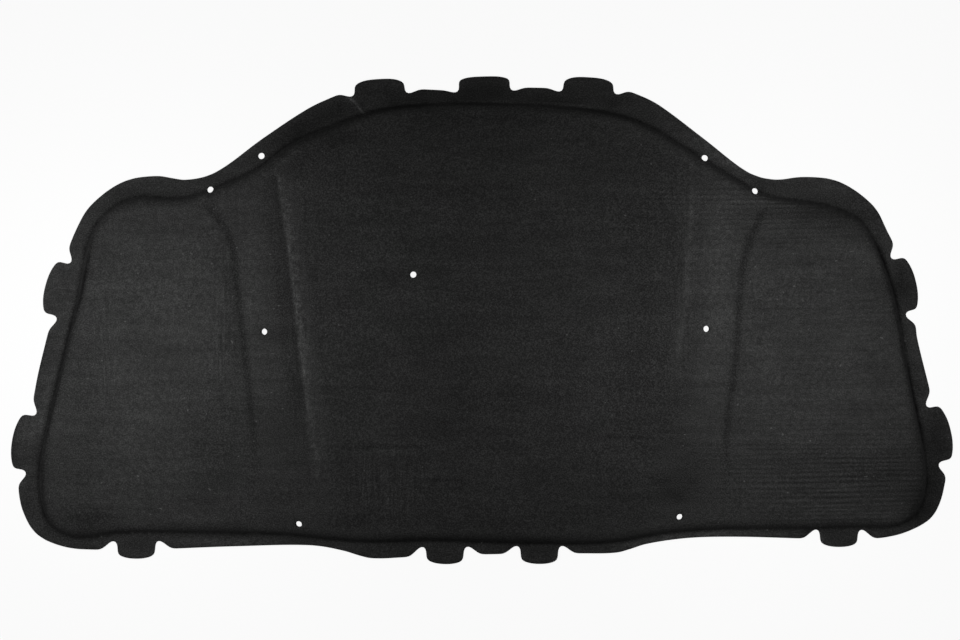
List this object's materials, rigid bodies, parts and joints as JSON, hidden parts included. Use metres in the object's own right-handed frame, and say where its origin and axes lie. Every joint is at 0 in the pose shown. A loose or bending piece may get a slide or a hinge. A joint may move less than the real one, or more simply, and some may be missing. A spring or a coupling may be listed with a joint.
{
  "type": "hood insulation pad",
  "caption": "Moulded black felt pad that lines the underside of a car bonnet, with tuck-in tongues along its rim and punched clip holes.",
  "frame": {"origin": "middle of the footprint, on the flat underside", "axes": "+X along the wide side, to the right in the picture; +Y towards the narrow end with three tongues; +Z out of the moulded face"},
  "size_m": [1.3996, 0.725, 0.0156],
  "materials": {
    "felt": "dull needled felt"
  },
  "bodies": {
    "root": {"insulation_pad": "felt"}
  },
  "joints": []
}
